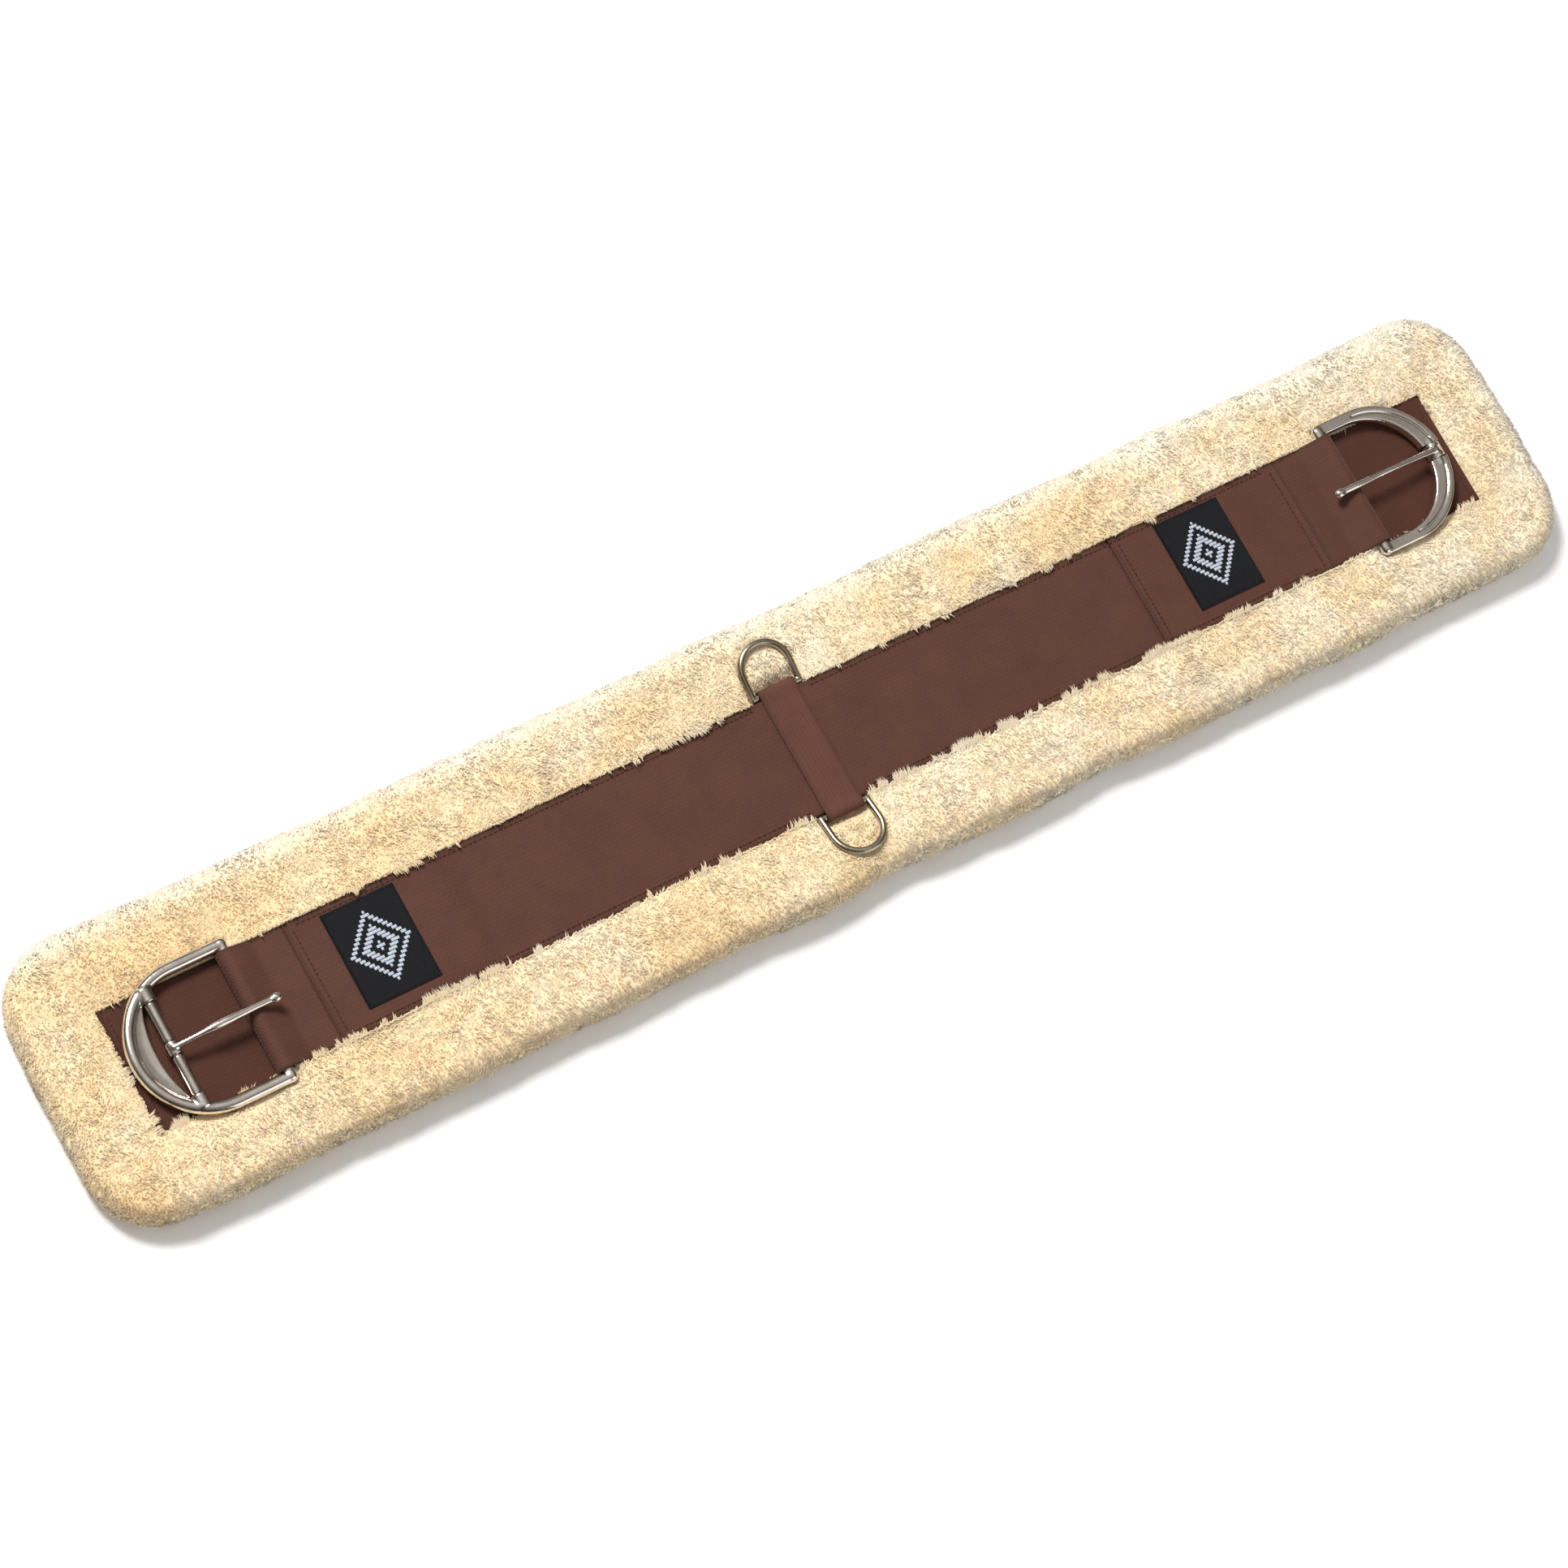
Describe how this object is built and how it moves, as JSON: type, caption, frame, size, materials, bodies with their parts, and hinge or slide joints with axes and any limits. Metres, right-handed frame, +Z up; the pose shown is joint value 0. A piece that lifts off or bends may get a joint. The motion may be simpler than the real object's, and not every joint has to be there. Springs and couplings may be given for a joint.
{
  "type": "saddle girth",
  "caption": "Fleece-lined webbing saddle girth with a tongue buckle at each end and wire dees held by a cross strap at the centre.",
  "frame": {"origin": "centre of the girth's underside, on the surface that it lies on", "axes": "+X along the girth to the off end, +Y across it to the rear edge, +Z up through the webbing; the fleece faces -Z"},
  "size_m": [1.022, 0.178, 0.0356],
  "materials": {
    "fleece": "deep matt pile",
    "felt": "matt",
    "webbing": "woven, low sheen",
    "thread": "matt",
    "label": "woven, matt",
    "buckle_steel": "polished",
    "dee_wire": "satin"
  },
  "bodies": {
    "centre": {"fleece_cover_centre": "fleece", "felt_core_centre": "felt", "base_web_centre": "webbing", "main_strap_centre": "webbing", "dee_keeper": "webbing"},
    "near_span": {"fleece_cover_near": "fleece", "felt_core_near": "felt", "base_web_near": "webbing", "main_strap_near": "webbing", "near_strap_tail": "webbing", "near_label": "label", "near_stitch_row": "thread"},
    "off_span": {"fleece_cover_off": "fleece", "felt_core_off": "felt", "base_web_off": "webbing", "main_strap_off": "webbing", "off_strap_tail": "webbing", "off_label": "label", "off_stitch_row": "thread", "off_tail_stitch_row": "thread"},
    "near_end": {"near_buckle_loop": "webbing"},
    "off_end": {"off_buckle_loop": "webbing"},
    "near_buckle": {"near_buckle_frame": "buckle_steel", "near_crossbar": "buckle_steel"},
    "off_buckle": {"off_buckle_frame": "buckle_steel"},
    "near_tongue": {"near_tongue": "buckle_steel"},
    "off_tongue": {"off_tongue": "buckle_steel"},
    "near_roller_front": {"near_roller_front": "buckle_steel"},
    "near_roller_rear": {"near_roller_rear": "buckle_steel"},
    "front_dee": {"front_dee": "dee_wire"},
    "rear_dee": {"rear_dee": "dee_wire"}
  },
  "joints": [
    {"name": "near_flex", "type": "hinge", "parent": "centre", "child": "near_span", "pos_m": [-0.14, 0, 0.0173], "axis": [0, 1, 0], "range_deg": [-40, 60]},
    {"name": "off_flex", "type": "hinge", "parent": "centre", "child": "off_span", "pos_m": [0.14, 0, 0.0173], "axis": [0, -1, 0], "range_deg": [-40, 60]},
    {"name": "near_end_lift", "type": "hinge", "parent": "near_span", "child": "near_end", "pos_m": [-0.346, 0, 0.01845], "axis": [0, 1, 0], "range_deg": [0, 70]},
    {"name": "off_end_lift", "type": "hinge", "parent": "off_span", "child": "off_end", "pos_m": [0.346, 0, 0.01845], "axis": [0, -1, 0], "range_deg": [0, 70]},
    {"name": "near_buckle_swing", "type": "hinge", "parent": "near_end", "child": "near_buckle", "pos_m": [-0.3825, 0, 0.02445], "axis": [0, 1, 0], "range_deg": [0, 12]},
    {"name": "off_buckle_swing", "type": "hinge", "parent": "off_end", "child": "off_buckle", "pos_m": [0.3825, 0, 0.02445], "axis": [0, -1, 0], "range_deg": [0, 12]},
    {"name": "near_tongue_lift", "type": "hinge", "parent": "near_buckle", "child": "near_tongue", "pos_m": [-0.434, 0, 0.02445], "axis": [0, -1, 0], "range_deg": [0, 120]},
    {"name": "off_tongue_lift", "type": "hinge", "parent": "off_buckle", "child": "off_tongue", "pos_m": [0.4465, 0, 0.02445], "axis": [0, 1, 0], "range_deg": [0, 140]},
    {"name": "near_roller_front_turn", "type": "hinge", "parent": "near_buckle", "child": "near_roller_front", "pos_m": [-0.434, -0.0166, 0.02445], "axis": [0, 1, 0], "continuous": true},
    {"name": "near_roller_rear_turn", "type": "hinge", "parent": "near_buckle", "child": "near_roller_rear", "pos_m": [-0.434, 0.0166, 0.02445], "axis": [0, 1, 0], "continuous": true},
    {"name": "front_dee_swing", "type": "hinge", "parent": "centre", "child": "front_dee", "pos_m": [-0.013, -0.0405, 0.0196], "axis": [-1, 0, 0], "range_deg": [0, 95]},
    {"name": "rear_dee_swing", "type": "hinge", "parent": "centre", "child": "rear_dee", "pos_m": [-0.013, 0.0405, 0.0196], "axis": [1, 0, 0], "range_deg": [0, 95]}
  ]
}
